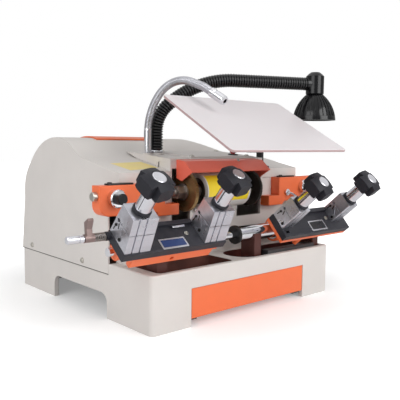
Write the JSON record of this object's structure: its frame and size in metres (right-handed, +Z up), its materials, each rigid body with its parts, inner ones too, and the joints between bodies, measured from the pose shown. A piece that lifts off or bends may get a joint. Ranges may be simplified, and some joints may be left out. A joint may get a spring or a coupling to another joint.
{
  "type": "key duplicating machine",
  "caption": "Bench-top twin-head key duplicating machine: spindle with two cutters, tracers, tilting and sliding carriages with screw clamps, chip drawer, lamp, nozzle and shield.",
  "frame": {"origin": "middle of the base casting's underside, between the four bench bolt holes", "axes": "+X to the right seen from the operator's side, -Y towards the operator, +Z up"},
  "size_m": [0.571, 0.4906, 0.394],
  "materials": {
    "body_paint": "warm light grey fine-textured enamel",
    "orange_paint": "semi-gloss orange enamel",
    "hood_paint": "semi-gloss red-orange enamel",
    "plate_black": "dark satin finish",
    "clamp_steel": "ground and plated steel",
    "knob_plastic": "matt moulded plastic",
    "bright_chrome": "polished",
    "tool_steel": "ground tool steel",
    "screw_steel": "zinc plated",
    "motor_paint": "dark enamel",
    "belt_rubber": "matt",
    "lamp_black": "gloss",
    "lamp_lens": "clear",
    "shield_acrylic": "milky sheet with polished edges",
    "strap_black": "satin black",
    "button_plastic": "gloss"
  },
  "bodies": {
    "frame": {"base_casting": "body_paint", "rear_cover": "body_paint", "front_casing": "body_paint", "head_cover": "body_paint", "head_lid": "body_paint", "cutter_hood": "hood_paint", "spindle_housing": "body_paint", "spindle_bearings": "tool_steel", "drive_belt": "belt_rubber", "motor_body": "motor_paint", "tracer_brackets": "orange_paint", "tracer_collars": "bright_chrome", "carriage_tube": "bright_chrome", "tube_bush": "bright_chrome", "carriage_supports": "clamp_steel", "casing_screws": "screw_steel", "top_tray": "orange_paint", "shield_bracket": "strap_black"},
    "drawer": {"chip_drawer": "orange_paint"},
    "spindle": {"spindle_shaft": "tool_steel", "left_cutter": "tool_steel", "right_cutter": "tool_steel", "cutter_nuts": "tool_steel"},
    "motor_rotor": {"motor_pulley": "motor_paint"},
    "left_tracer_pin": {"left_tracer": "tool_steel"},
    "right_tracer_pin": {"right_tracer": "tool_steel"},
    "left_slide_rod": {"left_rod": "bright_chrome"},
    "right_slide_sleeve": {"right_slide_bush": "bright_chrome"},
    "left_tilt_carriage": {"left_carriage": "orange_paint", "left_plate": "plate_black", "gauge_rod": "tool_steel", "gauge_spring": "tool_steel", "clamp_block_left_outer": "clamp_steel", "clamp_block_left_inner": "clamp_steel"},
    "right_tilt_carriage": {"right_carriage": "orange_paint", "right_plate": "plate_black", "clamp_block_right_inner": "clamp_steel", "clamp_block_right_outer": "clamp_steel"},
    "gauge": {"gauge_finger": "tool_steel"},
    "nozzle": {"nozzle_arm": "bright_chrome", "nozzle_tip": "bright_chrome"},
    "lamp_post": {"lamp_arm": "lamp_black"},
    "lamp_head": {"lamp_neck": "lamp_black", "lamp_shade": "lamp_black", "lamp_lens": "lamp_lens"},
    "shield": {"work_shield": "shield_acrylic", "shield_clip": "strap_black"},
    "button": {"power_button": "button_plastic"},
    "jaw_left_outer": {"clamp_jaw_left_outer": "clamp_steel"},
    "knob_left_outer": {"clamp_screw_left_outer": "bright_chrome", "clamp_knob_left_outer": "knob_plastic"},
    "jaw_left_inner": {"clamp_jaw_left_inner": "clamp_steel"},
    "knob_left_inner": {"clamp_screw_left_inner": "bright_chrome", "clamp_knob_left_inner": "knob_plastic"},
    "jaw_right_inner": {"clamp_jaw_right_inner": "clamp_steel"},
    "knob_right_inner": {"clamp_screw_right_inner": "bright_chrome", "clamp_knob_right_inner": "knob_plastic"},
    "jaw_right_outer": {"clamp_jaw_right_outer": "clamp_steel"},
    "knob_right_outer": {"clamp_screw_right_outer": "bright_chrome", "clamp_knob_right_outer": "knob_plastic"}
  },
  "joints": [
    {"name": "drawer_slide", "type": "slide", "parent": "frame", "child": "drawer", "axis": [0, -1, 0], "range_m": [0, 0.085]},
    {"name": "spindle_spin", "type": "hinge", "parent": "frame", "child": "spindle", "pos_m": [-0.011, -0.13, 0.19], "axis": [1, 0, 0], "continuous": true},
    {"name": "motor_spin", "type": "hinge", "parent": "frame", "child": "motor_rotor", "pos_m": [-0.011, 0.08, 0.16], "axis": [1, 0, 0], "continuous": true},
    {"name": "left_tracer_adjust", "type": "slide", "parent": "frame", "child": "left_tracer_pin", "axis": [0, -1, 0], "range_m": [-0.0015, 0.0015]},
    {"name": "right_tracer_adjust", "type": "slide", "parent": "frame", "child": "right_tracer_pin", "axis": [0, -1, 0], "range_m": [-0.0015, 0.0015]},
    {"name": "left_carriage_slide", "type": "slide", "parent": "frame", "child": "left_slide_rod", "axis": [1, 0, 0], "range_m": [-0.01, 0.03]},
    {"name": "left_carriage_tilt", "type": "hinge", "parent": "left_slide_rod", "child": "left_tilt_carriage", "pos_m": [-0.168, -0.172, 0.1205], "axis": [-1, 0, 0], "range_deg": [-9, 37]},
    {"name": "right_carriage_slide", "type": "slide", "parent": "frame", "child": "right_slide_sleeve", "axis": [1, 0, 0], "range_m": [-0.015, 0.025]},
    {"name": "right_carriage_tilt", "type": "hinge", "parent": "right_slide_sleeve", "child": "right_tilt_carriage", "pos_m": [0.1, -0.172, 0.1205], "axis": [-1, 0, 0], "range_deg": [0, 46]},
    {"name": "gauge_flip", "type": "hinge", "parent": "left_tilt_carriage", "child": "gauge", "pos_m": [-0.289, -0.18617, 0.14516], "axis": [1, 0, 0], "range_deg": [-40, 60]},
    {"name": "nozzle_swivel", "type": "hinge", "parent": "frame", "child": "nozzle", "pos_m": [-0.097, -0.052, 0.25], "axis": [0, 0, 1], "range_deg": [-25, 8]},
    {"name": "lamp_swivel", "type": "hinge", "parent": "frame", "child": "lamp_post", "pos_m": [-0.077, -0.048, 0.25], "axis": [0, 0, 1], "range_deg": [-8, 40]},
    {"name": "lamp_head_tilt", "type": "hinge", "parent": "lamp_post", "child": "lamp_head", "pos_m": [0.18915, -0.16789, 0.37301], "axis": [0.9118, -0.4107, 0], "range_deg": [-25, 25]},
    {"name": "shield_tilt", "type": "hinge", "parent": "frame", "child": "shield", "pos_m": [0.074, -0.13061, 0.32048], "axis": [-1, 0, 0], "range_deg": [-8, 10]},
    {"name": "power_press", "type": "slide", "parent": "frame", "child": "button", "axis": [0, 0, -1], "range_m": [0, 0.003], "stiffness_N_per_m": 400, "springref_m": -0.002},
    {"name": "jaw_left_outer_slide", "type": "slide", "parent": "left_tilt_carriage", "child": "jaw_left_outer", "axis": [0, -0.6428, 0.766], "range_m": [0, 0.003]},
    {"name": "knob_left_outer_turn", "type": "hinge", "parent": "jaw_left_outer", "child": "knob_left_outer", "pos_m": [-0.237, -0.2522, 0.20985], "axis": [0, -0.6428, 0.766], "range_deg": [0, 720]},
    {"name": "jaw_left_inner_slide", "type": "slide", "parent": "left_tilt_carriage", "child": "jaw_left_inner", "axis": [0, -0.6428, 0.766], "range_m": [0, 0.003]},
    {"name": "knob_left_inner_turn", "type": "hinge", "parent": "jaw_left_inner", "child": "knob_left_inner", "pos_m": [-0.101, -0.2522, 0.20985], "axis": [0, -0.6428, 0.766], "range_deg": [0, 720]},
    {"name": "jaw_right_inner_slide", "type": "slide", "parent": "right_tilt_carriage", "child": "jaw_right_inner", "axis": [0, -0.7547, 0.6561], "range_m": [0, 0.003]},
    {"name": "knob_right_inner_turn", "type": "hinge", "parent": "jaw_right_inner", "child": "knob_right_inner", "pos_m": [0.0715, -0.26519, 0.19621], "axis": [0, -0.7547, 0.6561], "range_deg": [0, 720]},
    {"name": "jaw_right_outer_slide", "type": "slide", "parent": "right_tilt_carriage", "child": "jaw_right_outer", "axis": [0, -0.7547, 0.6561], "range_m": [0, 0.003]},
    {"name": "knob_right_outer_turn", "type": "hinge", "parent": "jaw_right_outer", "child": "knob_right_outer", "pos_m": [0.2075, -0.26519, 0.19621], "axis": [0, -0.7547, 0.6561], "range_deg": [0, 720]}
  ],
  "couplings": [
    {"joint": "motor_spin", "follows": "spindle_spin", "ratio": 0.53846},
    {"joint": "knob_left_outer_turn", "follows": "jaw_left_outer_slide", "rad_per_m": 4188.8},
    {"joint": "knob_left_inner_turn", "follows": "jaw_left_inner_slide", "rad_per_m": 4188.8},
    {"joint": "knob_right_inner_turn", "follows": "jaw_right_inner_slide", "rad_per_m": 4188.8},
    {"joint": "knob_right_outer_turn", "follows": "jaw_right_outer_slide", "rad_per_m": 4188.8}
  ]
}
